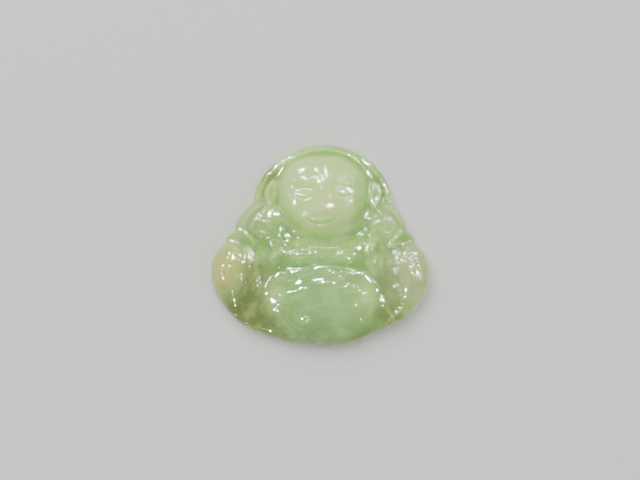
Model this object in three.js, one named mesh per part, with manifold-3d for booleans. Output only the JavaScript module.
// A carved jade pendant: a seated, round-bellied monk in relief, cut from one stone.
// Millimetres, +Z up. The pendant lies on its flat polished back, which is the plane z = 0.
// +X runs across the figure, +Y from its lap to the crown of its head, and the carving faces +Z.
// The origin is on the back, at the middle of the pendant's width and height.
import * as THREE from "three";
import { ParametricGeometry } from "three/addons/geometries/ParametricGeometry.js";
import { mergeVertices } from "three/addons/utils/BufferGeometryUtils.js";
import Module from "manifold-3d";

// Driving dimensions.
const WIDTH = 46;
const HEIGHT = 42.4;
const THICKNESS = 10;

// The rounded edge: its widest line stands EDGE_HEIGHT above the back, and it rolls over by
// EDGE_ROUND on the front and EDGE_UNDER on the back.
const EDGE_HEIGHT = 1.35;
const EDGE_ROUND = 1.5;
const EDGE_UNDER = 1.1;

// The plate that the figure is carved on, at its edge and at its middle.
const PLATE_EDGE = 3.0;
const PLATE_MIDDLE = 4.4;

// The cord hole runs from the top edge, slanting down through the back.
const HOLE_RADIUS = 0.65;
const HOLE_TILT = THREE.MathUtils.degToRad(22);
const HOLE_ENTRY = { y: HEIGHT / 2, z: 1.5 };
const HOLE_LENGTH = 16;
const HOLE_SIDES = 16;

// How finely the solid is faceted.
const SPOKES = 132;
const FRONT_RINGS = 24;
const EDGE_RINGS = 3;
const UNDER_RINGS = 2;

// The outline from the crown clockwise, in shares of half the width: a domed hood, a nick where
// the hood meets each shoulder, a small fold at each elbow, and a wide lap.
const OUTLINE = [
  [0.02, 0.921], [0.18, 0.904], [0.33, 0.855], [0.463, 0.767], [0.573, 0.637], [0.646, 0.487],
  [0.672, 0.372], [0.716, 0.316], [0.772, 0.22], [0.8, 0.13], [0.832, 0.104], [0.862, 0.064],
  [0.864, 0.028], [0.945, -0.068], [0.985, -0.17], [1, -0.28], [0.972, -0.41], [0.902, -0.53],
  [0.76, -0.667], [0.6, -0.75], [0.43, -0.828], [0.33, -0.88], [0.17, -0.917], [-0.02, -0.922],
  [-0.24, -0.893], [-0.462, -0.835], [-0.65, -0.755], [-0.8, -0.643], [-0.91, -0.51],
  [-0.98, -0.385], [-1, -0.27], [-0.985, -0.13], [-0.935, -0.04], [-0.868, 0.024],
  [-0.862, 0.062], [-0.834, 0.106], [-0.792, 0.13], [-0.775, 0.2], [-0.72, 0.29],
  [-0.652, 0.358], [-0.622, 0.39], [-0.58, 0.55], [-0.47, 0.705], [-0.3, 0.833], [-0.14, 0.9],
];

// The masses of the carving. Each is a dome on an ellipse: its middle, its half sizes, how far
// it is turned, where its foot starts and how high it stands. Pairs are mirrored about the
// figure's own middle line.
const MIDDLE_LINE = 0.5;
const DOMES = [
  // head, belly
  { across: 0, along: 10.7, half: [10, 9], turn: 0, foot: 3, top: 8.2 },
  { across: 0, along: -11.6, half: [12.8, 8.9], turn: 0, foot: 3.4, top: THICKNESS },
];
const PAIRED_DOMES = [
  // ear, shoulder, breast
  { across: 10.8, along: 10.2, half: [1.8, 3.8], turn: 8, foot: 2.9, top: 5.2 },
  { across: 13.4, along: 4.2, half: [5.4, 4.6], turn: 30, foot: 3, top: 5.8 },
  { across: 4.6, along: -1.7, half: [5.8, 3.4], turn: 4, foot: 3.6, top: 7.1 },
  // forearm sleeve, hand on the knee, thigh
  { across: 13.4, along: -4, half: [4.2, 6.4], turn: 12, foot: 3, top: 5.2 },
  { across: 18, along: -6, half: [4.8, 7.6], turn: -4, foot: 2.6, top: 7 },
  { across: 12.6, along: -14, half: [8.6, 5.2], turn: -28, foot: 2.6, top: 5 },
];
const DOME_ROUNDNESS = 0.62;

// How sharply two masses meet: the fillet between them is about 1 / BLEND_SHARPNESS high.
const BLEND_SHARPNESS = 2.2;

// A closed smooth curve through the outline's points, at full size.
const outline = new THREE.CatmullRomCurve3(
  OUTLINE.map(([x, y]) => new THREE.Vector3((x * WIDTH) / 2, (y * WIDTH) / 2, 0)),
  true,
  "centripetal",
);
const outlinePoints = outline.getSpacedPoints(SPOKES);

// The height of one dome above the back, or nothing outside its ellipse.
function domeHeight(dome, side, x, y) {
  const dx = x - MIDDLE_LINE - side * dome.across;
  const dy = y - dome.along;
  const turn = side * THREE.MathUtils.degToRad(dome.turn);
  const along = (dx * Math.cos(turn) + dy * Math.sin(turn)) / dome.half[0];
  const across = (dy * Math.cos(turn) - dx * Math.sin(turn)) / dome.half[1];
  const inside = 1 - along * along - across * across;
  return inside > 0 ? dome.foot + (dome.top - dome.foot) * inside ** DOME_ROUNDNESS : 0;
}

// The carved surface: the plate and every dome joined by a smooth maximum, which leaves a small
// fillet in each valley.
function reliefHeight(x, y, share) {
  const plate = PLATE_EDGE + (PLATE_MIDDLE - PLATE_EDGE) * (1 - share * share);
  const single = DOMES.map((dome) => domeHeight(dome, 1, x, y));
  const paired = PAIRED_DOMES.flatMap((dome) => [1, -1].map((side) => domeHeight(dome, side, x, y)));
  const heights = [plate, ...single, ...paired];
  const sum = heights.reduce((total, height) => total + Math.exp(BLEND_SHARPNESS * height), 0);
  return Math.log(sum) / BLEND_SHARPNESS;
}

// One station on the way from the middle of the front, over the edge, to the middle of the back.
// It gives how far inside the outline it lies, its share of the way out, and its height as a
// blend of the relief, the edge and the back.
function station(step) {
  if (step <= FRONT_RINGS) {
    return { inset: EDGE_ROUND, share: step / FRONT_RINGS, relief: 1, edge: 0 };
  }
  if (step <= FRONT_RINGS + EDGE_RINGS) {
    const roll = (((step - FRONT_RINGS) / EDGE_RINGS) * Math.PI) / 2;
    const relief = Math.cos(roll);
    return { inset: EDGE_ROUND * (1 - Math.sin(roll)), share: 1, relief, edge: 1 - relief };
  }
  if (step <= FRONT_RINGS + EDGE_RINGS + UNDER_RINGS) {
    const roll = (((step - FRONT_RINGS - EDGE_RINGS) / UNDER_RINGS) * Math.PI) / 2;
    return { inset: EDGE_UNDER * (1 - Math.cos(roll)), share: 1, relief: 0, edge: 1 - Math.sin(roll) };
  }
  return { inset: EDGE_UNDER, share: 0, relief: 0, edge: 0 };
}

// The whole skin of the stone as one function: u runs round the outline, v along the stations.
const STEPS = FRONT_RINGS + EDGE_RINGS + UNDER_RINGS + 1;
function skin(u, v, target) {
  const rim = outlinePoints[Math.round(u * SPOKES) % SPOKES];
  const { inset, share, relief, edge } = station(Math.round(v * STEPS));
  const shrink = share * (1 - inset / rim.length());
  const x = rim.x * shrink;
  const y = rim.y * shrink;
  const height = relief > 0 ? relief * reliefHeight(x, y, shrink) : 0;
  target.set(x, y, height + edge * EDGE_HEIGHT);
}

const wasm = await Module();
wasm.setup();

// A closed three.js geometry as a solid that can be cut.
function toSolid(geometry) {
  const bare = geometry.clone().deleteAttribute("normal").deleteAttribute("uv");
  const merged = mergeVertices(bare, 1e-3);
  return new wasm.Manifold(
    new wasm.Mesh({
      numProp: 3,
      vertProperties: merged.attributes.position.array,
      triVerts: new Uint32Array(merged.index.array),
    }),
  );
}

// A solid back as a three.js geometry.
function toGeometry(solid) {
  const mesh = solid.getMesh();
  const geometry = new THREE.BufferGeometry();
  geometry.setAttribute("position", new THREE.BufferAttribute(mesh.vertProperties, 3));
  geometry.setIndex(new THREE.BufferAttribute(mesh.triVerts, 1));
  geometry.computeVertexNormals();
  return geometry;
}

// The drill's path for the cord: a cylinder whose upper end stands clear of the top edge.
function cordHole() {
  const drill = new THREE.CylinderGeometry(HOLE_RADIUS, HOLE_RADIUS, HOLE_LENGTH, HOLE_SIDES);
  drill.rotateX(HOLE_TILT);
  drill.translate(MIDDLE_LINE, HOLE_ENTRY.y, HOLE_ENTRY.z);
  return drill;
}

const stone = toSolid(new ParametricGeometry(skin, SPOKES, STEPS));
const drilled = stone.subtract(toSolid(cordHole()));

const jade = new THREE.MeshStandardMaterial({ color: 0xa9c294, roughness: 0.15, metalness: 0 });
const figure = new THREE.Mesh(toGeometry(drilled), jade);
figure.name = "jade_figure";

const pendant = new THREE.Group();
pendant.add(figure);

export default pendant;
